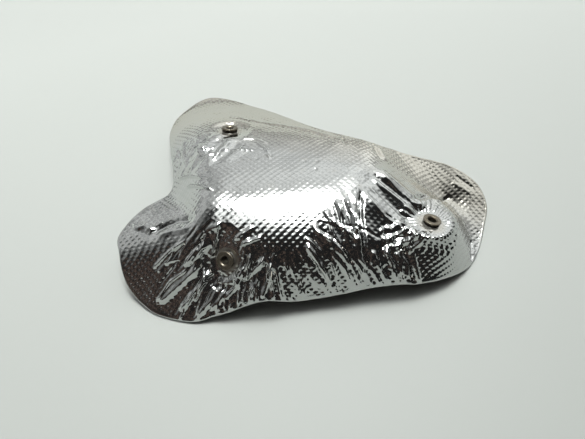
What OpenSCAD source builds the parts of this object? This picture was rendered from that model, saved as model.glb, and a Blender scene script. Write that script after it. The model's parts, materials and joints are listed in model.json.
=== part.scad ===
// Heat shield of an exhaust manifold: a pressed three-layer shell with a folded
// rim and three vibration decouplers that take M6 screws.
//
// X runs along the long side, +Y goes from the wrinkled front wall to the ear,
// and +Z is up as the shield lies on a bench with its hollow side down.

/* [Shell] */
// Height of the crown line above the bench
crown_z = 70; // [60:1:80]
// Slope of the roof behind the crown line, in degrees
roof_slope = 12; // [8:1:18]
// Slope of the front wall, in degrees
front_slope = 60; // [50:1:66]
// Slope of the ear towards its back edge, in degrees
ear_slope = 30; // [24:1:34]
// Slope of the wall around the boss, in degrees
boss_slope = 58; // [50:1:62]
// Radius of the flat top of the boss
boss_r = 27; // [22:1:30]

/* [Layers] */
// Thickness of the outer aluminium skin
outer_t = 0.4; // [0.3:0.1:0.6]
// Thickness of the fibre mat
mat_t = 1.0; // [0.6:0.1:1.6]
// Thickness of the inner aluminium skin
inner_t = 0.4; // [0.3:0.1:0.6]
// How far the folded rim reaches under the inner skin
hem_w = 5; // [3:0.5:8]

/* [Decouplers] */
// Bore of each sleeve, for an M6 screw
bore_d = 7; // [6.4:0.1:7.6]
// Outside diameter of a sleeve's barrel
barrel_d = 9; // [8.6:0.1:9.6]
// Outside diameter of a sleeve's flange and of its washer
flange_d = 14.8; // [14:0.2:16]
// Thickness of a flange and of a washer
flange_t = 1.2; // [0.8:0.1:1.6]
// How far a sleeve's top stands above the outer skin
proud = 4.2; // [3.6:0.1:5]

/* [Hidden] */

$fn = 96;

// Clearances
layer_gap = 0.05;     // between two layers of the shell
lip_gap = 0.35;       // between the inner skin and the lip folded under it
rim_gap = 0.12;       // between the layers' edges and the fold around them
axial_gap = 0.3;      // between a turning flange and the mesh that it rests on
running_gap = 0.08;   // between a turning barrel and the mesh around it
chamfer = 0.8;        // lead-in of a sleeve's bore

// Depth of each layer's face below the outer surface
mat_top = outer_t + layer_gap;
mat_bottom = mat_top + mat_t;
inner_top = mat_bottom + layer_gap;
stack_t = inner_top + inner_t;

// Decouplers
eyelet_t = 0.3;
eyelet_r = 5.9;
hole_r = eyelet_r + layer_gap;
eyelet_flange_r = 7.0;
mesh_r = flange_d / 2 - 0.4;
mesh_bore_r = barrel_d / 2 + running_gap;
pad_flat_r = 13;      // flat ground around each hole
pad_blend = 9;        // width over which a pad melts into the shell

// Position of each hole's centre on the outer surface, heading and tilt of its axis
FRONT = [[-68.5, -94, 42], 238, 48];
BACK = [[-75, 38, 46], 85, 30];
NOSE = [[96, -62.5, 46], 63, 21];

// Grid of the shell: steps along and across it
long_steps = 60;
cross_steps = 26;

// Where the shell sits in the part's frame, so that it rests on z = 0
rest = [0, 0.5, 0];

// Every pressed face is [point on it, heading of its fall line, slope].
ROOF = [[-17, -49, crown_z + 2], 95, roof_slope];
CROWN = [[-17, -49, crown_z + 2], -84, 17];
FRONT_WALL = [[-20, -119, 18], -84, front_slope];
LOBE_WALL = [[-143, -115, 4], -105, 47];
EAR = [[-74, 40, 50], 85, ear_slope];
EAR_SIDE = [[-137, 48, 20], 183, 48];
EAR_CORNER = [[-129, 89, 12], 140, 36];
DOME_END = [[41, -43, 68], -45, 22];
DOME_NOSE = [[83, -79, 46], -30, 50];
DOME_BACK = [[53, -9, 60], 20, 36];
LOBE_CREST = [[-83, -59, 60], 187, 20];
LOBE_BACK = [[-117, -57, 50], 100, 30];
LOBE_ROOT = [[-77, -59, 58], 0, 35];
BOSS_TOP = [[96, -62, 47.5], 63, 21];
SKIRT = [[102, 24, 27], -53, 16];
SKIRT_ROOT = [[63, 26, 38], 180, 40];
SADDLE = [[-139, -25, 26], 110, 12];
SADDLE_FRONT = [[-127, -47, 30], -80, 50];
SADDLE_ROOT = [[-97, -25, 40], 0, 40];
boss_axis = [88, -57];
boss_edge_z = 47;
foot_z = 1.5;

// Pressed channels are [start, end, depth, half width].
GROOVE = [[49, -31], [80, -63], 4, 9];
GUTTER = [[75, -3], [133, -19], 2, 11];

// The rim in plan, from the lobe's end to the skirt's end: its front run, then its back run.
// Points with the same number lie across from each other.
FRONT_RUN = [
    [-161, -80], [-158, -94], [-153, -105], [-142, -116], [-129, -124],
    [-112, -129], [-96, -131], [-82, -129], [-68, -127], [-53, -124],
    [-38, -122], [-20, -120], [3, -117], [28, -113], [52, -109],
    [70, -107], [84, -106], [96, -103], [108, -99], [119, -94],
    [130, -87], [140, -77], [148, -65], [154, -52], [158, -40]
];
BACK_RUN = [
    [-164, -67], [-156, -53], [-146, -41], [-136, -31], [-128, -22],
    [-125, -10], [-128, 8], [-136, 40], [-142, 72], [-135, 102],
    [-110, 127], [-80, 121], [-38, 91], [2, 51], [36, 30],
    [60, 24], [78, 26], [94, 25], [110, 23], [125, 21],
    [138, 17], [149, 11], [158, 3], [163, -8], [164, -22]
];

function fall(p, f) =
    f[0][2] - tan(f[2]) * ((p[0] - f[0][0]) * cos(f[1]) + (p[1] - f[0][1]) * sin(f[1]));

// Rounded lowest and highest of a list of heights; k sets the radius of the rounding.
function soft_min(v, k) =
    let (low = min(v), parts = [for (a = v) exp(-(a - low) / k)])
    low - k * ln(parts * [for (a = v) 1]);
function soft_max(v, k) = -soft_min([for (a = v) -a], k);
function ease(t) = let (c = min(1, max(0, t))) c * c * (3 - 2 * c);

// Distance in plan from p to the line a-b.
function line_distance(p, a, b) =
    let (d = b - a, t = min(1, max(0, (p - a) * d / (d * d))))
    norm(p - a - t * d);
function channel(p, c) = c[2] * exp(-pow(line_distance(p, c[0], c[1]) / c[3], 2));

function crown_height(p) =
    soft_min([soft_min([fall(p, ROOF), fall(p, CROWN)], 4), fall(p, FRONT_WALL)], 8);
function dome_height(p) = soft_min(concat(
    [crown_height(p)],
    [for (f = [LOBE_WALL, EAR, EAR_SIDE, EAR_CORNER, DOME_END, DOME_NOSE, DOME_BACK]) fall(p, f)]
), 5);
function lobe_height(p) =
    soft_min([for (f = [LOBE_CREST, LOBE_WALL, LOBE_BACK, LOBE_ROOT]) fall(p, f)], 5);
function boss_height(p) =
    soft_min([fall(p, BOSS_TOP), boss_edge_z - tan(boss_slope) * (norm(p - boss_axis) - boss_r)], 3);
function skirt_height(p) = soft_min([fall(p, SKIRT), fall(p, SKIRT_ROOT)], 4);
function saddle_height(p) =
    soft_min([for (f = [SADDLE, SADDLE_FRONT, SADDLE_ROOT]) fall(p, f)], 3);

function pressed_height(p) = soft_max([
    dome_height(p), lobe_height(p), boss_height(p), skirt_height(p), saddle_height(p), foot_z
], 3) - channel(p, GROOVE) - channel(p, GUTTER);

// A pad is the flat ground of one decoupler.
function with_pad(p, z, d) =
    let (w = 1 - ease((norm(p - [d[0][0], d[0][1]]) - pad_flat_r) / pad_blend))
    z * (1 - w) + w * fall(p, d);
function height(p) =
    with_pad(p, with_pad(p, with_pad(p, pressed_height(p), FRONT), BACK), NOSE);

function unit(v) = v / norm(v);
function normal(p) = let (e = 0.5) unit([
    (height(p - [e, 0]) - height(p + [e, 0])) / (2 * e),
    (height(p - [0, e]) - height(p + [0, e])) / (2 * e),
    1
]);

// Point at fraction t between b and c on the smooth curve through a, b, c and d.
function smooth(a, b, c, d, t) =
    b + t * ((c - a) / 2 + t * ((2 * a - 5 * b + 4 * c - d) / 2 + t * (3 * (b - c) + d - a) / 2));
function along(run, s) =
    let (last = len(run) - 1, i = min(last - 1, floor(s)))
    smooth(run[max(0, i - 1)], run[i], run[i + 1], run[min(last, i + 2)], s - i);

run_length = len(FRONT_RUN) - 1;
function plan_point(i, j) =
    let (s = i * run_length / long_steps, t = j / cross_steps)
    (1 - t) * along(FRONT_RUN, s) + t * along(BACK_RUN, s);
function surface_point(p, depth) = [p[0], p[1], height(p)] - depth * normal(p);

// The grid's outer cells, in order around the rim.
function rim_cells() = concat(
    [for (i = [0 : long_steps - 1]) [i, 0]],
    [for (j = [0 : cross_steps - 1]) [long_steps, j]],
    [for (i = [long_steps : -1 : 1]) [i, cross_steps]],
    [for (j = [cross_steps : -1 : 1]) [0, j]]
);
function index(i, j) = i * (cross_steps + 1) + j;

// One layer of the shell, between two depths below the outer surface.
module sheet(top, bottom) {
    grid = [for (i = [0 : long_steps]) for (j = [0 : cross_steps]) plan_point(i, j)];
    rim = [for (c = rim_cells()) index(c[0], c[1])];
    count = len(grid);
    cells = [for (i = [0 : long_steps - 1]) for (j = [0 : cross_steps - 1])
        [index(i, j), index(i, j + 1), index(i + 1, j + 1), index(i + 1, j)]];
    polyhedron(
        points = concat(
            [for (p = grid) surface_point(p, top)],
            [for (p = grid) surface_point(p, bottom)]
        ),
        faces = concat(
            [for (c = cells) [c[0], c[1], c[2]]],
            [for (c = cells) [c[0], c[2], c[3]]],
            [for (c = cells) [c[2] + count, c[1] + count, c[0] + count]],
            [for (c = cells) [c[3] + count, c[2] + count, c[0] + count]],
            [for (k = [0 : len(rim) - 1]) let (a = rim[k], b = rim[(k + 1) % len(rim)])
                [a, b, b + count]],
            [for (k = [0 : len(rim) - 1]) let (a = rim[k], b = rim[(k + 1) % len(rim)])
                [a, b + count, a + count]]
        )
    );
}

// Moves its children to a decoupler's hole, with +Z along the axis.
module at_hole(d) {
    translate(d[0]) rotate([0, d[2], d[1]]) children();
}

module pierced_sheet(top, bottom) {
    translate(rest) difference() {
        sheet(top, bottom);
        for (d = [FRONT, BACK, NOSE]) at_hole(d) translate([0, 0, -8]) cylinder(r = hole_r, h = 16);
    }
}

module outer_skin() {
    color("silver") pierced_sheet(0, outer_t);
}

module insulation_mat() {
    color("beige") pierced_sheet(mat_top, mat_bottom);
}

module inner_skin() {
    color("lightgray") pierced_sheet(inner_top, stack_t);
}

// The edge folded around the three layers, as a channel swept along the rim.
// Each profile point is [distance in from the rim, depth below the outer surface].
module rim_hem() {
    profile = [
        [-outer_t - rim_gap, 0],
        [-rim_gap, 0],
        [-rim_gap, stack_t + lip_gap],
        [hem_w / 2, stack_t + lip_gap],
        [hem_w, stack_t + lip_gap],
        [hem_w, stack_t + lip_gap + outer_t],
        [hem_w / 2, stack_t + lip_gap + outer_t],
        [-outer_t - rim_gap, stack_t + lip_gap + outer_t]
    ];
    rim = [for (c = rim_cells()) plan_point(c[0], c[1])];
    n = len(rim);
    m = len(profile);
    inward = [for (k = [0 : n - 1])
        let (d = unit(rim[(k + 1) % n] - rim[(k + n - 1) % n])) [-d[1], d[0]]];
    rings = [for (k = [0 : n - 1]) for (q = profile)
        q[0] > 0
            ? surface_point(rim[k] + q[0] * inward[k], q[1])
            : surface_point(rim[k], q[1]) + q[0] * [inward[k][0], inward[k][1], 0]];
    color("silver") translate(rest) polyhedron(
        points = rings,
        faces = [for (k = [0 : n - 1]) for (q = [0 : m - 1]) for (half = [0, 1])
            let (a = k * m + q, b = k * m + (q + 1) % m,
                 c = (k + 1) % n * m + (q + 1) % m, d = (k + 1) % n * m + q)
            half == 0 ? [a, b, c] : [a, c, d]]
    );
}

// A ring about the axis, from height low to high.
module ring(inner, outer, low, high) {
    translate([0, 0, low]) difference() {
        cylinder(r = outer, h = high - low);
        translate([0, 0, -1]) cylinder(r = inner, h = high - low + 2);
    }
}

// Flanged steel sleeve. Its foot ends level with the washer that is pressed on it.
sleeve_low = -stack_t - eyelet_t - (proud - flange_t) - flange_t + axial_gap;
module sleeve(d) {
    color("dimgray") translate(rest) at_hole(d) difference() {
        union() {
            translate([0, 0, sleeve_low]) cylinder(d = barrel_d, h = proud - sleeve_low);
            translate([0, 0, proud - flange_t]) cylinder(d = flange_d, h = flange_t);
        }
        translate([0, 0, sleeve_low - 1]) cylinder(d = bore_d, h = proud - sleeve_low + 2);
        translate([0, 0, proud - chamfer])
            cylinder(d1 = bore_d, d2 = bore_d + 2 * chamfer + 0.2, h = chamfer + 0.1);
    }
}

// Steel washer pressed on the sleeve's foot.
module washer(d) {
    color("darkgray") translate(rest) at_hole(d)
        ring(barrel_d / 2, flange_d / 2, sleeve_low, sleeve_low + flange_t);
}

// Ring of knitted wire between the outer skin's eyelet and the sleeve's flange.
module upper_mesh(d) {
    color("gray") translate(rest) at_hole(d)
        ring(mesh_bore_r, mesh_r, eyelet_t + layer_gap, proud - flange_t - axial_gap);
}

// Ring of knitted wire between the eyelet's lower flange and the washer.
module lower_mesh(d) {
    color("gray") translate(rest) at_hole(d)
        ring(mesh_bore_r, mesh_r, sleeve_low + flange_t + axial_gap, -stack_t - eyelet_t - layer_gap);
}

// Steel eyelet that clamps the three layers around the hole.
module eyelet(d) {
    color("lightsteelblue") translate(rest) at_hole(d) {
        ring(eyelet_r - eyelet_t, eyelet_r, -stack_t - eyelet_t, eyelet_t);
        ring(eyelet_r, eyelet_flange_r, layer_gap / 2, eyelet_t);
        ring(eyelet_r, eyelet_flange_r, -stack_t - eyelet_t, -stack_t - layer_gap / 2);
    }
}

outer_skin();
insulation_mat();
inner_skin();
rim_hem();
sleeve(FRONT);  // sleeve_front
sleeve(BACK);  // sleeve_back
sleeve(NOSE);  // sleeve_nose
washer(FRONT);  // washer_front
washer(BACK);  // washer_back
washer(NOSE);  // washer_nose
upper_mesh(FRONT);  // upper_mesh_front
upper_mesh(BACK);  // upper_mesh_back
upper_mesh(NOSE);  // upper_mesh_nose
lower_mesh(FRONT);  // lower_mesh_front
lower_mesh(BACK);  // lower_mesh_back
lower_mesh(NOSE);  // lower_mesh_nose
eyelet(FRONT);  // eyelet_front
eyelet(BACK);  // eyelet_back
eyelet(NOSE);  // eyelet_nose
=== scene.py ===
"""The looks of a manifold heat shield: dimpled mirror-bright foil, folds, hem and decouplers.

The shape is worked out in millimetres in the row frame and built in metres. The holes and
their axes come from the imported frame; the pressed faces are those of the CAD part.
"""

import json
import math

import bpy
import numpy as np
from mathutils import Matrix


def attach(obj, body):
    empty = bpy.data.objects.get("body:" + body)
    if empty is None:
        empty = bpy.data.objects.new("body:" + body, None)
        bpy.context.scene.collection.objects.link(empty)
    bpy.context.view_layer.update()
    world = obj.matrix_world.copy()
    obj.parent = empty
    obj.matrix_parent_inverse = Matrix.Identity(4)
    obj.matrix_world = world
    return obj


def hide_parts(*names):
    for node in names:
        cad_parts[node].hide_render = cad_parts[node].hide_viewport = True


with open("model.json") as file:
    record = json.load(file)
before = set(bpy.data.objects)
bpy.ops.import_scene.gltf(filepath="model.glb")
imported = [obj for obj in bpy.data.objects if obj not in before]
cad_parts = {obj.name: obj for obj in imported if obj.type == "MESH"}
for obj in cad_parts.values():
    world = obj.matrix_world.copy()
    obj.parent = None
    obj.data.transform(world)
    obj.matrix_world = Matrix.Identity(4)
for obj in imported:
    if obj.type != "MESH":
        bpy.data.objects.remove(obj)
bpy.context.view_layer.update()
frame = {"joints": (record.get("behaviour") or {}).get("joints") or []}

MM = 0.001

# --- Driving dimensions, in millimetres -------------------------------------------------

PITCH = 3.04          # rows of dimples, across; along a row they are two pitches apart
DENT_DEPTH = 0.5
DENT_R = 1.85
STEP_U = PITCH / 3    # mesh step along the rows
STEP_V = PITCH / 4    # mesh step across them
INNER_STEP = PITCH / 2
STACK_T = 1.9         # outer skin, mat and inner skin
MAT_TOP = 0.75        # the mat's faces, under the outer surface
MAT_BOTTOM = 1.25
HEM_W = 5.0
HEM_ROLL = 1.15       # radius of the fold at the rim
OUTER_INSET = 1.0     # how far inside the rim each sheet is cut
INNER_INSET = 1.5
MAT_INSET = 1.8
EYELET_R = 5.6        # inner edge of the foil at a hole
EYELET_FLANGE_R = 7.0
EYELET_T = 0.3        # its tube; the flanges are 0.03 mm thinner
EYELET_LOW = -2.2
BORE_R = 3.5
BARREL_R = 4.5
FLANGE_R = 7.4
FLANGE_T = 1.2
MOUTH_R = 4.35        # outer edge of the chamfer at a sleeve's mouth
FACE_R = 5.4          # lowest ring of the flange's dished face
PROUD = 4.2           # top of a sleeve above the foil
SLEEVE_LOW = -6.1     # foot of a sleeve under the foil
MESH_IN = 4.75        # the knitted wire lies round the barrel
MESH_OUT = 7.2
UPPER_MESH = (0.35, 2.75)
LOWER_MESH = (-4.6, -2.25)
WIRE_R = 0.17

# Where the pressed shell sits in the row frame
REST = np.array([0, 0.5, 0])

# The sheet lies flat close round a hole, and its folds die out at the rim.
HOLE_FLAT = 7.5
HOLE_BLEND = 4
RIM_BLEND = 3

FAR = 1e9

# --- Pressed shape ----------------------------------------------------------------------

# Every face is (point on it, heading of its fall line, slope), in mm and degrees.
FACES = {
    "roof": ((-17, -49, 72), 95, 12),
    "crown": ((-17, -49, 72), -84, 17),
    "front_wall": ((-20, -119, 18), -84, 60),
    "lobe_wall": ((-143, -115, 4), -105, 47),
    "ear": ((-74, 40, 50), 85, 30),
    "ear_side": ((-137, 48, 20), 183, 48),
    "ear_corner": ((-129, 89, 12), 140, 36),
    "dome_end": ((41, -43, 68), -45, 22),
    "dome_nose": ((83, -79, 46), -30, 50),
    "dome_back": ((53, -9, 60), 20, 36),
    "lobe_crest": ((-83, -59, 60), 187, 20),
    "lobe_back": ((-117, -57, 50), 100, 30),
    "lobe_root": ((-77, -59, 58), 0, 35),
    "boss_top": ((96, -62, 47.5), 63, 21),
    "skirt": ((102, 24, 27), -53, 16),
    "skirt_root": ((63, 26, 38), 180, 40),
    "saddle": ((-139, -25, 26), 110, 12),
    "saddle_front": ((-127, -47, 30), -80, 50),
    "saddle_root": ((-97, -25, 40), 0, 40),
}
BOSS_AXIS = (88, -57)
BOSS_EDGE_Z = 47
BOSS_R = 27
BOSS_SLOPE = 58
FOOT_Z = 1.5

# Grooves are (start, end, depth, half width).
GROOVE = ((49, -31), (80, -63), 4, 9)
GUTTER = ((75, -3), (133, -19), 2, 11)
PAD_FLAT = 13         # radius of the flat pad round a hole
PAD_BLEND = 9

# The rim in plan, from the lobe's end to the skirt's end
FRONT_RUN = [
    (-161, -80), (-158, -94), (-153, -105), (-142, -116), (-129, -124),
    (-112, -129), (-96, -131), (-82, -129), (-68, -127), (-53, -124),
    (-38, -122), (-20, -120), (3, -117), (28, -113), (52, -109),
    (70, -107), (84, -106), (96, -103), (108, -99), (119, -94),
    (130, -87), (140, -77), (148, -65), (154, -52), (158, -40),
]
BACK_RUN = [
    (-164, -67), (-156, -53), (-146, -41), (-136, -31), (-128, -22),
    (-125, -10), (-128, 8), (-136, 40), (-142, 72), (-135, 102),
    (-110, 127), (-80, 121), (-38, 91), (2, 51), (36, 30),
    (60, 24), (78, 26), (94, 25), (110, 23), (125, 21),
    (138, 17), (149, 11), (158, 3), (163, -8), (164, -22),
]

HOLES = {
    joint["child"].split("_")[-1]: (
        np.array(joint["pos_m"]) / MM,
        np.array(joint["axis"]) / np.linalg.norm(joint["axis"]),
    )
    for joint in frame["joints"]
}


def ease(t):
    """0 below 0 and 1 above 1, with a smooth rise between."""
    t = np.clip(t, 0, 1)
    return t * t * (3 - 2 * t)


def bell(t):
    """1 at 0, falling away smoothly on both sides."""
    return np.exp(-(t**2))


def soft_min(values, k):
    """The least of several heights, rounded over about k where they cross."""
    values = np.array(np.broadcast_arrays(*values))
    low = values.min(0)
    return low - k * np.log(np.exp(-(values - low) / k).sum(0))


def soft_max(values, k):
    """The greatest of several heights, rounded in the same way."""
    return -soft_min([-np.asarray(v) for v in values], k)


def line_distance(x, y, a, b):
    """Distance in plan from the line a-b, and how far along it, from 0 to 1."""
    dx, dy = b[0] - a[0], b[1] - a[1]
    t = np.clip(((x - a[0]) * dx + (y - a[1]) * dy) / (dx * dx + dy * dy), 0, 1)
    return np.hypot(x - a[0] - t * dx, y - a[1] - t * dy), t


def channel(x, y, start, end, depth, half_width):
    """Depth of a pressed groove."""
    return depth * bell(line_distance(x, y, start, end)[0] / half_width)


def fall(x, y, name):
    """Height of one of the faces, which are planes."""
    point, heading, slope = FACES[name]
    heading, slope = math.radians(heading), math.radians(slope)
    run = (x - point[0]) * math.cos(heading) + (y - point[1]) * math.sin(heading)
    return point[2] - math.tan(slope) * run


def falls(x, y, *names):
    """Heights of several faces."""
    return [fall(x, y, name) for name in names]


def pressed(x, y):
    """Height of the pressed shell over the bench, before its dimples and wrinkles."""
    x, y = x - REST[0], y - REST[1]
    crown = soft_min([soft_min(falls(x, y, "roof", "crown"), 4), fall(x, y, "front_wall")], 8)
    dome = soft_min([crown] + falls(
        x, y, "lobe_wall", "ear", "ear_side", "ear_corner", "dome_end", "dome_nose", "dome_back"
    ), 5)
    lobe = soft_min(falls(x, y, "lobe_crest", "lobe_wall", "lobe_back", "lobe_root"), 5)
    from_boss = np.hypot(x - BOSS_AXIS[0], y - BOSS_AXIS[1]) - BOSS_R
    boss_wall = BOSS_EDGE_Z - math.tan(math.radians(BOSS_SLOPE)) * from_boss
    boss = soft_min([fall(x, y, "boss_top"), boss_wall], 3)
    skirt = soft_min(falls(x, y, "skirt", "skirt_root"), 4)
    saddle = soft_min(falls(x, y, "saddle", "saddle_front", "saddle_root"), 3)
    z = soft_max([dome, lobe, boss, skirt, saddle, FOOT_Z], 3)
    z = z - channel(x, y, *GROOVE) - channel(x, y, *GUTTER) + REST[2]
    x, y = x + REST[0], y + REST[1]
    for centre, axis in HOLES.values():
        pad = centre[2] - ((x - centre[0]) * axis[0] + (y - centre[1]) * axis[1]) / axis[2]
        near = 1 - ease((np.hypot(x - centre[0], y - centre[1]) - PAD_FLAT) / PAD_BLEND)
        z = z * (1 - near) + pad * near
    return z


def round_hole(x, y, hole):
    """Distance in plan from a hole's centre, and the angle round it."""
    centre = HOLES[hole][0]
    return np.hypot(x - centre[0], y - centre[1]), np.arctan2(y - centre[1], x - centre[0])


def before_front_hole(x, y, blend):
    """1 to the front left of the front hole, falling to 0 just behind its centre."""
    centre = HOLES["front"][0]
    edge = centre[0] + centre[1] + 10
    return ease((edge - x - y) / blend)


# --- Noise ------------------------------------------------------------------------------


def noise(x, y, seed):
    """Smooth noise from about -1 to 1, with features about one unit wide."""
    angles = np.random.default_rng(seed).uniform(0, 2 * np.pi, (256, 256))
    ix, iy = np.floor(x).astype(int), np.floor(y).astype(int)
    fx, fy = x - ix, y - iy

    def corner(i, j):
        a = angles[(ix + i) % 256, (iy + j) % 256]
        return np.cos(a) * (fx - i) + np.sin(a) * (fy - j)

    sx = fx**3 * (fx * (fx * 6 - 15) + 10)
    sy = fy**3 * (fy * (fy * 6 - 15) + 10)
    low = corner(0, 0) * (1 - sx) + corner(1, 0) * sx
    high = corner(0, 1) * (1 - sx) + corner(1, 1) * sx
    return 1.5 * (low * (1 - sy) + high * sy)


def pleats(x, y, seed, sharp=0.35):
    """Narrow raised folds along the lines where a noise is zero: 1 on a fold, 0 between."""
    return np.clip(1 - np.abs(noise(x, y, seed)) / sharp, 0, 1) ** 1.2


def facets(x, y, seed, size):
    """Crumpled foil: flat facets that meet in sharp folds, from about -1 to 1."""
    rng = np.random.default_rng(seed)
    warp_x = x + size * 0.5 * noise(x / size / 1.7, y / size / 1.7, seed + 1)
    warp_y = y + size * 0.5 * noise(x / size / 1.7, y / size / 1.7, seed + 2)
    total = 0
    for k in range(5):
        a = rng.uniform(0, np.pi)
        wave = (warp_x * math.cos(a) + warp_y * math.sin(a)) / (size * rng.uniform(1.2, 2.6))
        total = total + 4 * np.abs((wave + rng.uniform()) % 1 - 0.5) - 1
    return total / 2.6


# --- Wrinkles and creases ---------------------------------------------------------------

# Creases are (points in plan, height, half width); a negative height is a valley.
CREASES = [
    # lobe: valley behind its crest, and the wavy crease at its end
    ([(-136, -69), (-122, -64), (-110, -61), (-93, -65)], -2.4, 3.0),
    ([(-128, -73), (-113, -70), (-98, -72)], 1.6, 3.0),
    ([(-153, -54), (-145, -61), (-139, -60), (-127, -69)], 1.6, 2.2),
    ([(-149, -62), (-140, -67), (-131, -74)], -1.2, 2.0),
    # ear: hooked crease, the upright line on its left and short ones in the saddle
    ([(-84, -9), (-79, 3), (-71, 19)], 2.2, 1.5),
    ([(-88, -3), (-83, 9), (-77, 20)], -1.3, 1.5),
    ([(-119, 36), (-115, 14), (-110, -3)], 1.9, 1.3),
    ([(-124, 30), (-120, 8)], -1.2, 1.3),
    ([(-119, -10), (-104, -18), (-86, -33)], 2.0, 1.2),
    ([(-107, -27), (-95, -35), (-79, -46)], 2.2, 1.3),
    ([(-96, -23), (-82, -30)], -1.3, 1.2),
    ([(-107, 30), (-97, 14), (-92, 0)], 1.4, 1.3),
    ([(-98, 34), (-90, 20)], 1.3, 1.1),
    ([(-104, 12), (-94, 8), (-84, 10)], 1.5, 1.1),
    ([(-100, 2), (-90, -2), (-84, 0)], 1.3, 1.1),
    ([(-50, 18), (-40, 6), (-36, -8)], 1.4, 1.3),
    ([(-44, 8), (-34, -6)], -1.0, 1.1),
    ([(-66, 22), (-50, 22), (-38, 14)], 1.1, 1.5),
    # back edge
    ([(-87, 77), (-58, 64), (-1, 42), (30, 22)], 0.7, 2.6),
    ([(28, 28), (31, 13)], -1.3, 1.1),
    ([(56, 19), (62, 0)], -1.8, 1.5),
    ([(60, 20), (66, 2)], 1.2, 1.8),
    ([(136, 10), (154, -3)], -0.5, 1.5),
    ([(132, 3), (151, -8)], 0.4, 1.8),
    # channel between dome and boss: stripe in its floor, and its two banks
    ([(46, -26), (64, -38), (87, -54)], 1.8, 2.2),
    ([(52, -20), (70, -33), (84, -43), (98, -44)], 1.1, 2.0),
    ([(42, -34), (58, -48), (78, -64)], 1.3, 2.0),
    ([(40, -42), (54, -58), (70, -70)], 0.9, 1.6),
    ([(56, -58), (76, -70)], -1.0, 1.4),
    # boss: crease along its back
    ([(80, -41), (100, -27), (114, -24), (131, -10)], -2.2, 2.2),
    ([(84, -46), (102, -33), (120, -28)], 1.0, 2.4),
    # dome's end, down to the rim
    ([(38, -40), (37, -64), (40, -89), (46, -108)], -2.6, 2.0),
    ([(33, -44), (32, -66), (34, -90), (39, -110)], 1.4, 2.2),
    # nose: pleat down to the rim, and the slit at its right end
    ([(72, -82), (78, -95), (83, -108)], -3.2, 1.5),
    ([(76, -80), (82, -93), (87, -106)], 2.0, 1.6),
    ([(143, -52), (139, -78)], -2.2, 1.1),
    # crown: fingers where the wrinkles run up into it
    ([(19, -52), (21, -70), (28, -88)], 1.5, 1.6),
    ([(25, -50), (28, -66), (34, -80)], 1.4, 1.5),
    ([(9, -58), (14, -76), (22, -94)], 1.3, 1.6),
]

# Long raised folds that fan out down the front: (points in plan, height, half width)
FOLDS = [
    ([(-7, -87), (1, -96), (12, -105)], 2.4, 1.8),
    ([(7, -80), (18, -91), (31, -100)], 2.6, 2.0),
    ([(13, -92), (24, -100), (34, -110)], 2.2, 1.6),
    ([(2, -98), (9, -104), (17, -112)], 1.8, 1.4),
    ([(16, -52), (23, -66), (29, -83)], 2.2, 1.8),
    ([(25, -49), (31, -65), (36, -88)], 2.4, 1.8),
    ([(29, -96), (35, -104), (41, -110)], 1.8, 1.5),
    ([(-3, -73), (6, -83), (14, -91)], 1.5, 1.6),
    ([(-74, -77), (-87, -86), (-105, -97)], 2.4, 2.2),
    ([(-90, -97), (-107, -106), (-128, -117)], 2.6, 2.4),
    ([(-80, -95), (-90, -108), (-110, -123)], 2.0, 1.8),
    ([(-73, -108), (-82, -118), (-94, -127)], 2.0, 1.8),
    ([(-36, -95), (-53, -106), (-76, -121)], 2.6, 1.8),
    ([(-33, -98), (-36, -108), (-42, -121)], 2.4, 1.6),
    ([(-31, -98), (-28, -108), (-24, -120)], 2.6, 1.6),
    ([(-47, -95), (-56, -104), (-63, -111)], 2.2, 1.6),
    ([(-66, -109), (-74, -117), (-84, -124)], 1.8, 1.4),
    ([(-62, -84), (-54, -80), (-47, -76)], 1.6, 1.4),
    ([(-58, -88), (-48, -85), (-40, -83)], 1.4, 1.3),
    ([(-86, -80), (-80, -76), (-72, -72)], 1.4, 1.6),
    ([(-19, -98), (-14, -107), (-10, -117)], 1.8, 1.4),
    ([(-58, -110), (-56, -117), (-60, -123)], 1.6, 1.3),
    ([(45, -88), (52, -98), (61, -107)], 2.2, 1.6),
    ([(55, -86), (62, -96), (69, -106)], 1.8, 1.4),
    ([(65, -83), (68, -94), (73, -106)], 1.8, 1.4),
]

# Steps are (start, end, drop, width); the sheet drops to the right of the line.
STEPS = [
    ((52, -22), (88, -44), 1.5, 5.0),
    ((46, -34), (82, -58), 1.2, 4.6),
]

PITS = [(-7, -11), (4, -11), (2, -22), (-47, -7)]
PIT_DEPTH = 0.7
PIT_R = 1.6

# A row of small beads on the ear: start, end, and the gap from one to the next
BEADS = ((-78, 6), (-48, 4), 4.3)
BEAD_HEIGHT = 1.2
BEAD_R = 1.4

# The fan of folds down the front: its centre in plan, where it starts and how far it turns
FAN = (-40, -38)
FAN_START = -150
FAN_TURN = 124


def thin_folds(count, seed):
    """Long thin folds that run down the front, spread round the fan's centre."""
    rng = np.random.default_rng(seed)
    folds = []
    for k in range(count):
        turn = math.radians(FAN_START + FAN_TURN * (k + rng.uniform()) / count)
        start = rng.uniform(46, 90)
        length = rng.uniform(14, 42)
        bend = rng.uniform(-0.09, 0.09)
        stops = ((start, 0), (start + length / 2, bend), (start + length, bend))
        points = [(FAN[0] + r * math.cos(turn + b), FAN[1] + r * math.sin(turn + b))
                  for r, b in stops]
        height = rng.choice((1, 1, -0.7)) * rng.uniform(0.9, 1.8)
        folds.append((points, height, rng.uniform(0.8, 1.2)))
    return folds


THIN_FOLDS = thin_folds(74, 41)


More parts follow.
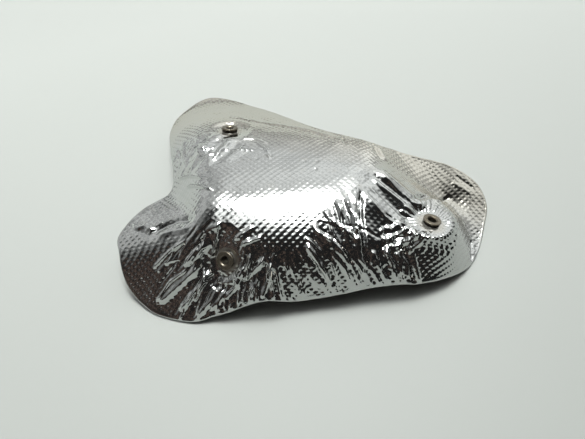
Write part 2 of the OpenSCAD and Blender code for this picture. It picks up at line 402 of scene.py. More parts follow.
def crease(x, y, points, height, half_width):
    """A fold along a bent line, sharp on its crest and tapered at its ends."""
    nearest = np.full(np.shape(x), FAR)
    along = np.zeros(np.shape(x))
    count = len(points) - 1
    for k in range(count):
        distance, t = line_distance(x, y, points[k], points[k + 1])
        closer = distance < nearest
        nearest = np.where(closer, distance, nearest)
        along = np.where(closer, (k + t) / count, along)
    taper = ease(along / 0.18) * ease((1 - along) / 0.18)
    profile = np.clip(1.08 - np.sqrt((nearest / half_width / 1.5) ** 2 + 0.006), 0, 1) ** 1.2
    return height * taper * profile


def step(x, y, start, end, drop, width):
    """The sheet steps down from left to right of a line, and recovers on either side."""
    dx, dy = end[0] - start[0], end[1] - start[1]
    length = math.hypot(dx, dy)
    along = ((x - start[0]) * dx + (y - start[1]) * dy) / length**2
    across = ((x - start[0]) * dy - (y - start[1]) * dx) / length / width
    ends = ease((along + 0.15) / 0.3) * ease((1.15 - along) / 0.3)
    return -drop * 1.65 * across * np.exp(-(across**2) / 2) * ends


def window(x, y, centre, radius_x, radius_y):
    """1 inside an ellipse in plan, fading to 0 outside it."""
    d = np.hypot((x - centre[0]) / radius_x, (y - centre[1]) / radius_y)
    return 1 - ease((d - 0.75) / 0.5)


def front_wrinkles(x, y, z):
    """The fan of fine folds down the front wall, with small crumples between them."""
    r = np.hypot(x - FAN[0], y - FAN[1])
    turn = np.arctan2(y - FAN[1], x - FAN[0])
    # The wall lies under 60 mm, ahead of y = -69 and left of the nose. The lobe has less.
    front = ease((60 - z) / 16) * ease((-69 - y) / 14) * (1 - ease((x - 74) / 6))
    left = 1 - 0.75 * ease((-100 - x) / 25)
    fan = pleats(turn * 8.5, r / 34, 3, 0.30) + 0.6 * pleats(turn * 15, r / 26, 4, 0.35)
    amount = 0.55 + 0.6 * noise(x / 22, y / 22, 5)
    total = 0.7 * front * left * fan * np.clip(amount, 0.1, 1.2)
    total += 0.4 * front * left * pleats(turn * 24, r / 38, 17, 0.4)
    total += 0.35 * front * left * noise(turn * 10, r / 20, 6)
    total += 0.22 * front * left * facets(x, y, 19, 3.4)
    return total


def hole_wrinkles(x, y):
    """Ridges that run out from the front and nose holes, and a crumpled ring at the front."""
    near, angle = round_hole(x, y, "front")
    ring = ease((near - 8) / 5) * (1 - ease((near - 20) / 16))
    below = ring * before_front_hole(x, y, 8)
    total = 0.2 * below * np.cos(angle * 23 + 2 * noise(x / 9, y / 9, 8))
    total += 0.15 * ring * facets(x, y, 9, 9)
    near, angle = round_hole(x, y, "nose")
    ring = ease((near - 10) / 4) * (1 - ease((near - 24) / 5))
    return total + 0.40 * ring * np.cos(angle * 27 + noise(x / 12, y / 12, 18))


def crumpled_places(x, y):
    """Crumples and pleats that each keep to one place on the sheet."""
    crushed = 1.2 * window(x, y, (70, -77), 20, 11) * facets(x, y, 11, 4.4)
    dome_foot = 0.9 * window(x, y, (58, -97), 20, 13) * facets(x * 1.5, y, 12, 9)
    dome_front = 0.8 * window(x, y, (26, -80), 16, 34) * pleats(x / 7 + y / 30, y / 30, 13, 0.3)
    ear = 1.1 * window(x, y, (-92, 12), 34, 28) * facets(x, y, 14, 8)
    in_channel = 0.25 * window(x, y, (64, -44), 28, 18) * pleats((x + y) / 5, (x - y) / 90, 15, 0.4)
    lobe_end = 0.35 * window(x, y, (-140, -60), 26, 16) * facets(x, y, 16, 9)
    return crushed + dome_foot + dome_front + ear + in_channel + lobe_end


def wrinkles(x, y, z):
    """Folds and crumples, in mm out of the sheet. They go through every layer of the shell."""
    total = front_wrinkles(x, y, z) + hole_wrinkles(x, y) + crumpled_places(x, y)
    return total + sum(step(x, y, *s) for s in STEPS)


def marks(x, y):
    """The creases, pits and beads that are there one by one, in mm out of the sheet."""
    total = sum(crease(x, y, *c) for c in CREASES + FOLDS + THIN_FOLDS)
    total = total * (0.9 + 0.3 * noise(x / 9, y / 9, 77))
    for pit in PITS:
        total = total - PIT_DEPTH * bell(np.hypot(x - pit[0], y - pit[1]) / PIT_R)
    start, end, gap = BEADS
    distance, t = line_distance(x, y, start, end)
    run = t * math.dist(start, end)
    beads = np.cos(np.pi * run / gap) ** 2 * ease(t / 0.1) * ease((1 - t) / 0.1)
    return total + BEAD_HEIGHT * beads * bell(distance / BEAD_R)


# Shallow hollows are (centre in plan, half width in x and in y, depth); a negative depth is
# a swelling. Two lie in the front wall. At the dome's end the sheet is fuller above and
# hollower below.
HOLLOWS = [
    ((68, -86), 32, 14, 2.6),
    ((-80, -105), 30, 12, 1.7),
    ((54, -26), 18, 12, -2.2),
    ((52, -68), 18, 12, 1.5),
]


def gentle(x, y):
    """Slow waviness of the whole sheet, so that no reflection is dead straight."""
    dish = sum(
        depth * bell((x - centre[0]) / half_x) * bell((y - centre[1]) / half_y)
        for centre, half_x, half_y, depth in HOLLOWS
    )
    # The front edge of the boss is well rounded, so that a dark band lies below it.
    from_boss = np.hypot(x - BOSS_AXIS[0], y - BOSS_AXIS[1] - REST[1]) - BOSS_R
    dish += 1.1 * bell((from_boss - 1) / 5) * ease((-62 - y) / 10) * ease((x - 84) / 8)
    # Below the front hole the recess runs out smoothly into the wall.
    near = round_hole(x, y, "front")[0]
    run_out = 2.4 * bell((near - 13.5) / 3) - 1.8 * bell((near - 20.5) / 4)
    dish -= before_front_hole(x, y, 12) * run_out
    return 0.45 * noise(x / 28, y / 28, 21) + 0.16 * noise(x / 11, y / 11, 22) - dish


def dimples(u, v):
    """Round dents in staggered rows, on the sheet's own developed lengths."""
    nearest = FAR
    for shift in (0, 0.5):
        du = (u / (2 * PITCH) + shift + 0.5) % 1 - 0.5
        dv = (v / (2 * PITCH) + shift + 0.5) % 1 - 0.5
        nearest = np.minimum(nearest, (du * du + dv * dv) * (2 * PITCH / DENT_R) ** 2)
    return -DENT_DEPTH * np.clip(1 - nearest, 0, 1) ** 1.5


DRAWN_FLAT = 0.42     # share of a dimple's depth that is left where the sheet is most stretched


def embossing(x, y):
    """Share of the full depth that the dimples keep: stretching has drawn some shallow."""
    front = np.maximum(ease((-68 - y) / 22), ease((-104 - x) / 14) * ease((-45 - y) / 12))
    boss = window(x, y, (100, -62), 32, 34)
    nose = ease((x - 92) / 12) * ease((-38 - y) / 10)
    ear_side = window(x, y, (-120, 20), 16, 44)
    strip = window(x, y, (82, 12), 42, 14)
    crisp = np.maximum.reduce([front, nose, 0.9 * boss, 0.8 * ear_side, 0.5 * strip])
    return DRAWN_FLAT + (1 - DRAWN_FLAT) * crisp


# --- The sheet's own lengths ------------------------------------------------------------

X0, X1, Y0, Y1 = -176, 176, -142, 140
GRID = 1.0
CROWN = (-17, -45)    # u and v are 0 here


def sample(field, x, y):
    """Value of a field on the millimetre grid at points between its nodes."""
    i = np.clip((x - X0) / GRID, 0, field.shape[0] - 1.001)
    j = np.clip((y - Y0) / GRID, 0, field.shape[1] - 1.001)
    a, b = i.astype(int), j.astype(int)
    s, t = i - a, j - b
    low = field[a, b] * (1 - s) + field[a + 1, b] * s
    high = field[a, b + 1] * (1 - s) + field[a + 1, b + 1] * s
    return low * (1 - t) + high * t


plan_x, plan_y = np.meshgrid(
    np.arange(X0, X1 + GRID, GRID), np.arange(Y0, Y1 + GRID, GRID), indexing="ij"
)
HEIGHT = pressed(plan_x, plan_y)
SLOPE_X, SLOPE_Y = np.gradient(HEIGHT, GRID)


def developed(slope, axis, origin):
    """Length along the sheet from a line of origin, in one plan direction."""
    length = np.cumsum(np.sqrt(1 + slope**2), axis) * GRID
    return length - np.take(length, [origin], axis)


LENGTH_U = developed(SLOPE_X, 0, int((CROWN[0] - X0) / GRID))
LENGTH_V = developed(SLOPE_Y, 1, int((CROWN[1] - Y0) / GRID))


def lattice(step_u, step_v):
    """Plan points of a grid that is even on the developed sheet, with u and v."""
    u = np.arange(math.floor(LENGTH_U.min() / step_u), LENGTH_U.max() / step_u) * step_u
    v = np.arange(math.floor(LENGTH_V.min() / step_v), LENGTH_V.max() / step_v) * step_v
    u, v = np.meshgrid(u, v, indexing="ij")
    x, y = u * 0.8 + CROWN[0], v * 0.8 + CROWN[1]
    for _ in range(60):
        x = np.clip(x + 0.5 * (u - sample(LENGTH_U, x, y)), X0, X1)
        y = np.clip(y + 0.5 * (v - sample(LENGTH_V, x, y)), Y0, Y1)
    return x, y, u, v


def normals(x, y):
    """Unit normals of the pressed shell, which point up."""
    n = np.stack([-sample(SLOPE_X, x, y), -sample(SLOPE_Y, x, y), np.ones(np.shape(x))], -1)
    return n / np.linalg.norm(n, axis=-1, keepdims=True)


# --- The rim ----------------------------------------------------------------------------


def smooth_loop(points, per_span):
    """Closed smooth curve through the points."""
    p = np.array(points, float)
    a, b, c, d = (np.roll(p, s, 0)[:, None, :] for s in (1, 0, -1, -2))
    t = (np.arange(per_span) / per_span)[None, :, None]
    square = (2 * a - 5 * b + 4 * c - d) / 2
    curve = b + t * ((c - a) / 2 + t * (square + t * (3 * (b - c) + d - a) / 2))
    return curve.reshape(-1, 2)


def evenly(loop, step):
    """The same closed curve with even steps."""
    closed = np.vstack([loop, loop[:1]])
    s = np.concatenate([[0], np.cumsum(np.linalg.norm(np.diff(closed, axis=0), axis=1))])
    at = np.linspace(0, s[-1], int(s[-1] / step), endpoint=False)
    return np.stack([np.interp(at, s, closed[:, k]) for k in (0, 1)], -1)


RIM_STEP = 1.0
RIM = evenly(smooth_loop(FRONT_RUN + BACK_RUN[::-1], 24) + REST[:2], RIM_STEP)


def rim_frame():
    """Unit tangents along the rim and unit normals into the shell."""
    tangent = np.roll(RIM, -1, 0) - np.roll(RIM, 1, 0)
    tangent /= np.linalg.norm(tangent, axis=1, keepdims=True)
    return tangent, np.stack([-tangent[:, 1], tangent[:, 0]], -1)


def rim_distance(x, y):
    """Distance in plan to the rim, below 0 outside it, and the rim's nearest point."""
    p = np.stack([x.ravel(), y.ravel()], -1)
    half = (RIM**2).sum(1) / 2
    k = np.concatenate([np.argmax(part @ RIM.T - half, 1) for part in np.array_split(p, 200)])
    tangent, inward = (field[k] for field in rim_frame())
    reach = ((p - RIM[k]) * tangent).sum(1).clip(-0.6 * RIM_STEP, 0.6 * RIM_STEP)
    point = RIM[k] + reach[:, None] * tangent
    away = p - point
    distance = np.linalg.norm(away, axis=1) * np.where((away * inward).sum(1) < 0, -1, 1)
    return distance.reshape(x.shape), point.reshape(x.shape + (2,))


# --- Meshes -----------------------------------------------------------------------------


def add_mesh(name, points, faces):
    """A smooth-shaded mesh object from points in millimetres."""
    mesh = bpy.data.meshes.new(name)
    mesh.from_pydata((np.asarray(points) * MM).tolist(), [], [list(f) for f in faces])
    mesh.polygons.foreach_set("use_smooth", [True] * len(mesh.polygons))
    mesh.update()
    piece = bpy.data.objects.new(name, mesh)
    bpy.context.scene.collection.objects.link(piece)
    return piece


def layer_points(x, y, u, v, depth, dent, from_rim):
    """Points of a layer at a depth under the outer surface; dent is its share of a dimple."""
    z = sample(HEIGHT, x, y)
    calm = ease((from_rim - 0.3) / RIM_BLEND)
    folds = calm * (wrinkles(x, y, z) + marks(x, y))
    # A fold has drawn the dimples on it flat.
    dent = dent * (1 - 0.7 * np.clip(np.abs(folds) / 1.2, 0, 1))
    from_hole = np.minimum.reduce([round_hole(x, y, hole)[0] for hole in HOLES])
    out = (folds + gentle(x, y)) * ease((from_hole - HOLE_FLAT) / HOLE_BLEND)
    dent = dent * embossing(x, y) * dimples(u, v)
    dent = dent * ease((from_rim - 1.6) / 1.5) * ease((from_hole - HOLE_FLAT) / 2)
    return np.stack([x, y, z], -1) + normals(x, y) * (out + dent - depth)[..., None]


def corners_of_cells(field):
    """The values at the four corners of every cell of a grid, in order round it."""
    return field[:-1, :-1], field[1:, :-1], field[1:, 1:], field[:-1, 1:]


def cut_to_rim(x, y, margin):
    """Moves the points just outside the rim onto it, a margin inside.

    Gives x, y, the distance in from that line, and the cells that are kept.
    """
    d, near = rim_distance(x, y)
    d = d - margin
    inside = d > 0
    keep = np.logical_or.reduce(corners_of_cells(inside))
    used = np.zeros(x.shape, bool)
    for i, j in ((0, 0), (1, 0), (1, 1), (0, 1)):
        used[i : i + keep.shape[0], j : j + keep.shape[1]] |= keep
    away = np.stack([x, y], -1) - near
    away /= np.maximum(np.linalg.norm(away, axis=-1, keepdims=True), 1e-6)
    inward = np.where(d[..., None] > -margin, away, -away)
    edge = near + inward * margin
    snap = used & ~inside
    x = np.where(snap, edge[..., 0], x)
    y = np.where(snap, edge[..., 1], y)
    return x, y, np.where(snap, 0, d), keep


def pierce(x, y, keep, centre):
    """Moves the points in a hole onto its edge. The cells inside it are left out."""
    dx, dy = x - centre[0], y - centre[1]
    r = np.hypot(dx, dy)
    hole = r < EYELET_R
    keep = keep & ~np.logical_and.reduce(corners_of_cells(hole))
    scale = np.where(hole, EYELET_R / np.maximum(r, 0.01), 1)
    return centre[0] + dx * scale, centre[1] + dy * scale, keep


def layer(name, step_u, step_v, depth, dent, margin, thickness=0):
    """One sheet of the shell, cut to the rim and pierced at the holes."""
    x, y, u, v = lattice(step_u, step_v)
    x, y, d, keep = cut_to_rim(x, y, margin)
    for centre, _ in HOLES.values():
        x, y, keep = pierce(x, y, keep, centre)
    points = layer_points(x, y, u, v, depth, dent, np.maximum(d + margin, 0))
    ids = np.arange(x.size).reshape(x.shape)
    quads = np.stack(corners_of_cells(ids), -1)[keep]
    kept, quads = np.unique(quads, return_inverse=True)
    piece = add_mesh(name, points.reshape(-1, 3)[kept], quads.reshape(-1, 4))
    if thickness:
        solid = piece.modifiers.new("thickness", "SOLIDIFY")
        solid.thickness = thickness * MM
        solid.offset = 0
    return piece


def hem():
    """The outer skin's edge, rolled under the stack: a strip swept along the rim."""
    lap = 1.4             # the strip lies on the skin from here in
    inward = rim_frame()[1]
    # Profile: (distance in from the rim, depth under the outer surface)
    roll = [(HEM_ROLL * (1 - math.sin(a)), HEM_ROLL * (1 - math.cos(a)))
            for a in np.linspace(0, math.pi, 9)]
    profile = [(lap + 1.2, 0.12), (lap + 0.6, -0.02), (lap, -0.04)] + roll[1:]
    profile += [(HEM_W * s, 2 * HEM_ROLL + 0.05) for s in (0.35, 0.7, 1.0)]
    profile += [(HEM_W, 2 * HEM_ROLL - 0.3)]
    flat = np.zeros(len(RIM))
    rings = []
    for distance, depth in profile:
        x = RIM[:, 0] + inward[:, 0] * distance
        y = RIM[:, 1] + inward[:, 1] * distance
        rough = 0.12 * noise(x / 5, y / 5, 31) * (depth > 0.2)
        rings.append(layer_points(x, y, flat, flat, depth + rough, 0, flat + distance))
    points = np.stack(rings, 1)
    n, m = points.shape[:2]
    ids = np.arange(n * m).reshape(n, m)
    after = np.roll(ids, -1, 0)
    quads = np.stack([ids[:, :-1], ids[:, 1:], after[:, 1:], after[:, :-1]], -1).reshape(-1, 4)
    return add_mesh("rim_hem_fold", points.reshape(-1, 3), quads)


TURN_STEPS = 96


def turned(profile):
    """A solid of revolution about +Z from a closed profile of (radius, height)."""
    angles = np.arange(TURN_STEPS) * 2 * np.pi / TURN_STEPS
    profile = np.array(profile, float)
    points = np.stack([
        np.outer(np.cos(angles), profile[:, 0]),
        np.outer(np.sin(angles), profile[:, 0]),
        np.outer(np.ones(TURN_STEPS), profile[:, 1]),
    ], -1)
    ids = np.arange(points.shape[0] * points.shape[1]).reshape(points.shape[:2])
    a, b = np.roll(ids, -1, 0), np.roll(ids, -1, 1)
    quads = np.stack([ids, a, np.roll(a, -1, 1), b], -1).reshape(-1, 4)
    return points.reshape(-1, 3), quads


def rounded(corners, radii):
    """A closed profile with its corners rounded, by one radius for each corner."""
    corners = np.array(corners, float)
    result = []
    for k, corner in enumerate(corners):
        before, after = corners[k - 1] - corner, corners[(k + 1) % len(corners)] - corner
        before /= np.linalg.norm(before)
        after /= np.linalg.norm(after)
        for t in np.linspace(0, 1, 4):
            pull = (1 - t) ** 2 * before + t**2 * after
            result.append(corner + radii[k] * pull)
    return result


def placed(points, hole):
    """Points about +Z moved onto a hole's axis."""
    centre, axis = HOLES[hole]
    side = np.cross([0, 0, 1.0], axis)
    side /= np.linalg.norm(side)
    other = np.cross(axis, side)
    points = np.asarray(points)
    return centre + points[:, :1] * side + points[:, 1:2] * other + points[:, 2:] * axis


def sleeve(hole):
    """Flanged sleeve with a chamfered mouth, rolled edges and a slightly dished face."""
    top = PROUD
    profile = rounded([
        (BORE_R, SLEEVE_LOW), (BARREL_R, SLEEVE_LOW), (BARREL_R, top - FLANGE_T),
        (FLANGE_R, top - FLANGE_T), (FLANGE_R, top), (FACE_R, top - 0.05),
        (MOUTH_R, top), (BORE_R, top - 0.9),
    ], [0.1, 0.15, 0.1, 0.3, 0.45, 0.3, 0.15, 0.15])
    points, quads = turned(profile)
    return add_mesh(f"sleeve_{hole}_ring", placed(points, hole), quads)


def washer(hole):
    """Flat washer on the sleeve's foot."""
    low = SLEEVE_LOW
    profile = rounded([
        (BARREL_R, low), (FLANGE_R, low), (FLANGE_R, low + FLANGE_T), (BARREL_R, low + FLANGE_T),
    ], [0.05, 0.3, 0.2, 0.05])
    points, quads = turned(profile)
    return add_mesh(f"washer_{hole}_ring", placed(points, hole), quads)


def eyelet(hole):
    """Eyelet: a thin tube with a flange rolled out over each face of the stack."""
    top, low, t = EYELET_T, EYELET_LOW, EYELET_T - 0.03
    inner, outer, flange = EYELET_R, EYELET_R + EYELET_T, EYELET_FLANGE_R
    profile = rounded([
        (inner, low), (flange, low), (flange, low + t), (outer, low + t),
        (outer, top - t), (flange, top - t), (flange, top), (inner, top),
    ], [0.25, 0.1, 0.08, 0.05, 0.05, 0.08, 0.1, 0.25])
    points, quads = turned(profile)
    return add_mesh(f"eyelet_{hole}_ring", placed(points, hole), quads)


def wire(path, radius, sides=5):
    """A closed loop of round wire along a path: its points and faces."""
    ahead = np.roll(path, -1, 0) - np.roll(path, 1, 0)
    ahead /= np.linalg.norm(ahead, axis=1, keepdims=True)
    side = np.cross(ahead, [0, 0, 1.0])
    side /= np.linalg.norm(side, axis=1, keepdims=True)
    up = np.cross(side, ahead)
    ring = [path + radius * (math.cos(b) * side + math.sin(b) * up)
            for b in np.arange(sides) * 2 * np.pi / sides]
    points = np.stack(ring, 1)
    ids = np.arange(points.shape[0] * sides).reshape(-1, sides)
    after = np.roll(ids, -1, 0)
    quads = np.stack([ids, after, np.roll(after, -1, 1), np.roll(ids, -1, 1)], -1)
    return points.reshape(-1, 3), quads.reshape(-1, 4)


def wire_ring(name, hole, low, high, seed):
    """Knitted wire: rows of looped wire wound round the sleeve's barrel."""
    rows, loops = 4, 26
    rng = np.random.default_rng(seed)
    points, quads = np.empty((0, 3)), np.empty((0, 4), int)
    middle, half = (MESH_IN + MESH_OUT) / 2, (MESH_OUT - MESH_IN) / 2 - WIRE_R
    pitch = (high - low - 2 * WIRE_R) / rows
    a = np.linspace(0, 2 * np.pi, loops * 10, endpoint=False)
    for row in range(rows):
        wave = a * loops + rng.uniform(0, 2 * np.pi)
        height = low + WIRE_R + pitch * (row + 0.5) + 0.48 * pitch * np.sin(wave)
        radius = middle + half * np.cos(wave + 0.6 * np.sin(wave)) * rng.uniform(0.85, 1)
        turn = a + 0.05 * np.sin(2 * wave)
        path = np.stack([radius * np.cos(turn), radius * np.sin(turn), height], -1)
        more_points, more_quads = wire(path, WIRE_R)
        quads = np.vstack([quads, more_quads + len(points)])
        points = np.vstack([points, more_points])
    return add_mesh(name, placed(points, hole), quads)


# --- Materials --------------------------------------------------------------------------


STAIN_IN = 9          # the stain round a hole fades from here, in millimetres
STAIN_OUT = 14

# What the foil's tint is multiplied by, where it is dirty and where it has been heated
STAIN = (0.93, 0.86, 0.76)
STRAW = (1.02, 0.97, 0.88)


class Shader:
    """A short way to write a material's nodes."""

    def __init__(self, name):
        self.material = bpy.data.materials.new(name)
        self.material.use_nodes = True
        self.nodes = self.material.node_tree.nodes
        self.links = self.material.node_tree.links
        self.surface = self.nodes["Principled BSDF"]

    def add(self, kind, **settings):
        """A new node with the given settings."""
        node = self.nodes.new(kind)
        for key, value in settings.items():
            setattr(node, key, value)
        return node

    def put(self, socket, value):
        """Links a socket to another node's output, or sets it to a constant."""
        if isinstance(value, bpy.types.NodeSocket):
            self.links.new(value, socket)
        else:
            socket.default_value = value

    def noise(self, scale, detail=3.0, roughness=0.5):
        """Noise in object space, scale in features a metre."""
        place = self.add("ShaderNodeTexCoord")
        node = self.add("ShaderNodeTexNoise")
        self.put(node.inputs["Vector"], place.outputs["Object"])
        self.put(node.inputs["Scale"], scale)
        self.put(node.inputs["Detail"], detail)
        self.put(node.inputs["Roughness"], roughness)
        return node.outputs["Fac"]

    def ramp(self, value, low, high, to_low, to_high):
        """Maps low to high onto to_low to to_high, and stays at the ends outside them."""
        node = self.add("ShaderNodeMapRange")
        node.clamp = True
        for key, number in (("Value", value), ("From Min", low), ("From Max", high),
                            ("To Min", to_low), ("To Max", to_high)):
            self.put(node.inputs[key], number)
        return node.outputs["Result"]

    def mix(self, factor, a, b):
        """A colour between a and b. Inputs 6 and 7 and output 2 are the colour sockets."""
        node = self.add("ShaderNodeMix", data_type="RGBA")
        self.put(node.inputs[0], factor)
        self.put(node.inputs[6], a)
        self.put(node.inputs[7], b)
        return node.outputs[2]

    def along(self, direction):
        """How far a point lies along a direction, in metres in object space."""
        place = self.add("ShaderNodeTexCoord")
        node = self.add("ShaderNodeVectorMath", operation="DOT_PRODUCT")
        self.put(node.inputs[0], place.outputs["Object"])
        self.put(node.inputs[1], direction)
        return node.outputs["Value"]

    def larger(self, a, b):
        """The larger of two values."""
        node = self.add("ShaderNodeMath", operation="MAXIMUM")
        self.put(node.inputs[0], a)
        self.put(node.inputs[1], b)
        return node.outputs[0]

    def near_holes(self, most):
        """The given value beside a hole, fading to 0 a few millimetres away."""
        result = 0.0
        for centre, _ in HOLES.values():
            place = self.add("ShaderNodeTexCoord")
            node = self.add("ShaderNodeVectorMath", operation="DISTANCE")
            self.put(node.inputs[0], place.outputs["Object"])
            self.put(node.inputs[1], tuple(centre * MM))
            near = self.ramp(node.outputs["Value"], STAIN_IN * MM, STAIN_OUT * MM, most, 0.0)
            result = self.larger(near, result)
        return result

    def bump(self, height, strength, distance):
        """Fine relief, with its depth in metres."""
        node = self.add("ShaderNodeBump")
        self.put(node.inputs["Height"], height)
        self.put(node.inputs["Strength"], strength)
        self.put(node.inputs["Distance"], distance)
        self.links.new(node.outputs["Normal"], self.surface.inputs["Normal"])


def scaled(colour, factors):
    """A colour with each of its channels scaled."""
    return tuple(c * f for c, f in zip(colour[:3], factors)) + (1.0,)


def foil(name, tint, roughness, smudge):
    """Bright rolled aluminium: near mirror, with dull smudges and a fine grain."""
    s = Shader(name)
    dull = s.ramp(s.noise(38, 4, 0.6), 0.45, 0.7, 0.0, 1.0)
    grime = s.ramp(s.noise(150, 5, 0.65), 0.55, 0.8, 0.0, smudge)
    # Heat has turned the metal a little straw-coloured towards the back.
    to_back = s.ramp(s.along((0.3, 0.9, 0.0)), -0.01, 0.03, 0.0, 1.0)
    heated = s.mix(to_back, tint, scaled(tint, STRAW))
    dirt = s.larger(grime, s.near_holes(0.6))
    s.put(s.surface.inputs["Base Color"], s.mix(dirt, heated, scaled(tint, STAIN)))
    s.put(s.surface.inputs["Metallic"], 1.0)
    rough = s.larger(s.ramp(dull, 0.0, 1.0, roughness, roughness + 0.07), s.near_holes(0.32))
    s.put(s.surface.inputs["Roughness"], rough)
    s.bump(s.noise(900, 2), 0.12, 0.00015)
    return s.material


def steel(name, tint, stain, roughness):
    """Plated or bare steel with a mottled film."""
    s = Shader(name)
    film = s.ramp(s.noise(420, 4, 0.6), 0.4, 0.65, 0.0, 1.0)
    s.put(s.surface.inputs["Base Color"], s.mix(film, tint, stain))
    s.put(s.surface.inputs["Metallic"], 1.0)
    s.put(s.surface.inputs["Roughness"], s.ramp(film, 0.0, 1.0, roughness, roughness + 0.15))
    s.bump(s.noise(2600, 2), 0.25, 0.0001)
    return s.material


def matte(name, tint, other, scale):
    """Rough fibre in two mottled tints."""
    s = Shader(name)
    s.put(s.surface.inputs["Base Color"], s.mix(s.noise(scale, 4, 0.6), tint, other))
    s.put(s.surface.inputs["Roughness"], 0.9)
    return s.material


def finish_piece(piece, material, slot, body, *nodes):
    """Gives a piece its material, the body it rides on and the CAD it stands for. The slot argument
    is not used.
    """
    piece.data.materials.clear()
    piece.data.materials.append(material)
    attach(piece, body)
    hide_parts(*nodes)


FOIL = foil("bright_foil", (0.575, 0.585, 0.575, 1), 0.09, 0.4)
# Painted shade: the inner skin is coloured near black so the hollow under the shell stays dark and
# bounces little light onto the floor under the raised rim.
SHADED_INNER_FOIL = foil("inner_foil_painted_shade", (0.09, 0.083, 0.075, 1), 0.38, 0.8)
ZINC = steel("yellow_zinc", (0.20, 0.18, 0.145, 1), (0.13, 0.11, 0.08, 1), 0.38)
WIRE = steel("knitted_wire", (0.10, 0.09, 0.075, 1), (0.05, 0.043, 0.035, 1), 0.45)
BARE = steel("bare_steel", (0.55, 0.54, 0.52, 1), (0.40, 0.38, 0.35, 1), 0.30)
FIBRE = matte("fibre", (0.70, 0.66, 0.58, 1), (0.50, 0.46, 0.40, 1), 800)

outer = layer("outer_skin_foil", STEP_U, STEP_V, 0.0, 1.0, OUTER_INSET)
finish_piece(outer, FOIL, "outer_skin", "shell", "outer_skin")
finish_piece(hem(), FOIL, "rim", "shell", "rim_hem")
mat = layer("insulation_mat_fibre", INNER_STEP, INNER_STEP, (MAT_TOP + MAT_BOTTOM) / 2, 0.0,
            MAT_INSET, MAT_BOTTOM - MAT_TOP)
finish_piece(mat, FIBRE, "mat", "shell", "insulation_mat")
inner = layer("inner_skin_foil", INNER_STEP, INNER_STEP, STACK_T, 0.8, INNER_INSET)
finish_piece(inner, SHADED_INNER_FOIL, "inner_skin", "shell", "inner_skin")

for number, hole in enumerate(sorted(HOLES)):
    finish_piece(sleeve(hole), ZINC, "sleeve", f"decoupler_{hole}", f"sleeve_{hole}")
    finish_piece(washer(hole), ZINC, "washer", f"decoupler_{hole}", f"washer_{hole}")
    finish_piece(eyelet(hole), BARE, "eyelet", "shell", f"eyelet_{hole}")
    upper = wire_ring(f"upper_mesh_{hole}_wire", hole, *UPPER_MESH, 50 + number)
    finish_piece(upper, WIRE, "wire_mesh", "shell", f"upper_mesh_{hole}")
    lower = wire_ring(f"lower_mesh_{hole}_wire", hole, *LOWER_MESH, 60 + number)
    finish_piece(lower, WIRE, "wire_mesh", "shell", f"lower_mesh_{hole}")


# --- Stage, light and camera ------------------------------------------------------------


PAPER = (0.375, 0.39, 0.37, 1)
# Painted shade: the paper's colour towards the front right, where the light falls off
PAPER_PAINTED_SHADE = (0.24, 0.252, 0.237, 1)
FLOOR_HALF = 3000     # in millimetres, as the backdrop's sizes are
WALL_R = 2900
WALL_T = 10
WALL_TOP = 2500
WALL_LIGHT = (0.58, 0.60, 0.575, 1)
PANEL = 1.7           # brightness of the overhead light
LAMP = 62             # and of the small lamp behind it
LEAST_LIGHT = 0.018   # and of the darkest part of the room
SENSOR = 36
FOCAL = 500 / 585     # focal length over the width of the picture
CAMERA_TILT = 57      # below the horizon, in degrees
CAMERA_HEIGHT = 0.390  # in metres, as is the point on the floor that it is aimed at
AIM = (-0.017, -0.0285)


def floor():
    """Pale paper, painted darker towards the front right: painted shade where the light falls off.
    """
    h = FLOOR_HALF
    piece = add_mesh("floor", [(-h, -h, 0), (h, -h, 0), (h, h, 0), (-h, h, 0)], [(0, 1, 2, 3)])
    s = Shader("paper_white")
    # Painted shade: the paper darkens towards the front right to stand in for the light falling off
    # there.
    painted_falloff = s.ramp(s.along((0.4, -0.9, 0.0)), -0.30, 0.30, 0.0, 1.0)
    s.put(s.surface.inputs["Base Color"], s.mix(painted_falloff, PAPER, PAPER_PAINTED_SHADE))
    s.put(s.surface.inputs["Roughness"], 0.6)
    piece.data.materials.append(s.material)


def backdrop():
    """A plain pale wall all round. Only the camera sees it: the foil reflects the studio."""
    low, outer_r = -WALL_T, WALL_R + WALL_T
    wall = [(WALL_R, low), (WALL_R, WALL_TOP), (outer_r, WALL_TOP), (outer_r, low)]
    piece = add_mesh("backdrop", *turned(wall))
    s = Shader("paper_wall")
    s.put(s.surface.inputs["Base Color"], (0, 0, 0, 1))
    s.put(s.surface.inputs["Emission Color"], WALL_LIGHT)
    s.put(s.surface.inputs["Emission Strength"], 1.0)
    piece.data.materials.append(s.material)
    piece.visible_diffuse = False
    piece.visible_glossy = False
    piece.visible_shadow = False


class Formula:
    """A value in the world's node tree that is written like a number."""

    tree = None

    def __init__(self, socket):
        self.socket = socket

    @classmethod
    def make(cls, operation, *values, clamp=False):
        """One maths node, on formulas or numbers."""
        node = cls.tree.nodes.new("ShaderNodeMath")
        node.operation = operation
        node.use_clamp = clamp
        for socket, value in zip(node.inputs, values):
            if isinstance(value, Formula):
                cls.tree.links.new(value.socket, socket)
            else:
                socket.default_value = value
        return cls(node.outputs[0])

    def __add__(self, other):
        return Formula.make("ADD", self, other)

    def __sub__(self, other):
        return Formula.make("SUBTRACT", self, other)

    def __mul__(self, other):
        return Formula.make("MULTIPLY", self, other)

    def between(self, low, high):
        """0 below low, 1 above high."""
        return Formula.make("MULTIPLY", self - low, 1 / (high - low), clamp=True)

    def blob(self):
        """exp(-self squared), for a soft patch."""
        return Formula.make("EXPONENT", self * self * -1.0)

    def size(self):
        """The value without its sign."""
        return Formula.make("ABSOLUTE", self)


def overhead_light(x, y, above):
    """A long light that lies askew: along is its length, across its width."""
    along = x * 0.74 + y * 0.67 + 0.10
    across = y * 0.74 - x * 0.67 + 0.01
    ends = along.size().between(0.24, 0.44) * -1.0 + 1.0
    sides = across.size().between(0.05, 0.23) * -1.0 + 1.0
    return ends * sides * above


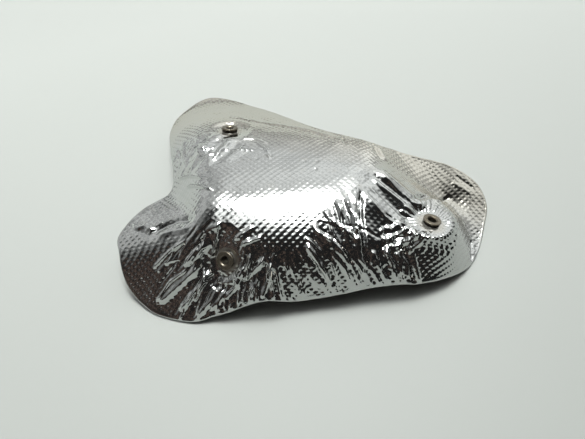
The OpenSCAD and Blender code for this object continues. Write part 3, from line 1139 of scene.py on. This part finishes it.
def dim_room(x, y, z, uneven):
    """A pale wall behind, dark at the horizon, with a window, and a side wall at the left."""
    behind = y.between(-0.02, 0.22)
    middle = ((x - 0.08) * 2.2).blob()
    pane = ((x - 0.52) * 3.5).blob() * ((y - 0.65) * 2.6).blob()
    horizon = z.between(0.03, 0.12) * 0.7 + 0.3
    wall = behind * (middle * 0.43 + pane * 0.6 + 0.44) * horizon
    side_wall = x.between(-0.5, -0.8) * y.between(-0.55, -0.2) * 0.2
    return (wall + side_wall) * (uneven * 2.4 - 0.2) + LEAST_LIGHT


def brown_things(x, y, uneven, above):
    """A few brown things in front, and one at the front left."""
    scattered = y.between(-0.25, -0.6) * uneven.between(0.60, 0.66) * 0.17
    return scattered + ((x + 0.6) * 7.0).blob() * ((y + 0.72) * 7.0).blob() * above * 0.09


def sky():
    """A long soft light overhead, a pale wall behind and a dim room in front.

    x, y and z are the direction that is looked in; z is 0 at the horizon.
    """
    world = bpy.data.worlds.new("studio")
    bpy.context.scene.world = world
    world.use_nodes = True
    Formula.tree = tree = world.node_tree
    place = tree.nodes.new("ShaderNodeTexCoord")
    split = tree.nodes.new("ShaderNodeSeparateXYZ")
    tree.links.new(place.outputs["Generated"], split.inputs[0])
    x, y, z = (Formula(socket) for socket in split.outputs)
    clouds = tree.nodes.new("ShaderNodeTexNoise")
    tree.links.new(place.outputs["Generated"], clouds.inputs["Vector"])
    clouds.inputs["Scale"].default_value = 5.5
    clouds.inputs["Detail"].default_value = 4.0
    uneven = Formula(clouds.outputs["Fac"])
    above = z.between(-0.02, 0.02)

    lamp = ((x - 0.03) * 6.5).blob() * ((y - 0.25) * 6.5).blob() * above
    total = dim_room(x, y, z, uneven) + overhead_light(x, y, above) * PANEL + lamp * LAMP
    brown = brown_things(x, y, uneven, above)
    colour = tree.nodes.new("ShaderNodeCombineColor")
    for socket, light, warmth in zip(colour.inputs, (0.99, 1.01, 1.0), (1.0, 0.68, 0.55)):
        tree.links.new((total * light + brown * warmth).socket, socket)
    tree.links.new(colour.outputs[0], tree.nodes["Background"].inputs["Color"])


def camera():
    """The photograph's viewpoint: in front, looking down at the part."""
    data = bpy.data.cameras.new("camera")
    data.sensor_width = SENSOR
    data.lens = FOCAL * SENSOR
    piece = bpy.data.objects.new("camera", data)
    back = CAMERA_HEIGHT / math.tan(math.radians(CAMERA_TILT))
    piece.location = (AIM[0], AIM[1] - back, CAMERA_HEIGHT)
    piece.rotation_euler = (math.radians(90 - CAMERA_TILT), 0, 0)
    bpy.context.scene.collection.objects.link(piece)
    bpy.context.scene.camera = piece


floor()
backdrop()
sky()
camera()
bpy.context.scene.view_settings.view_transform = "Standard"
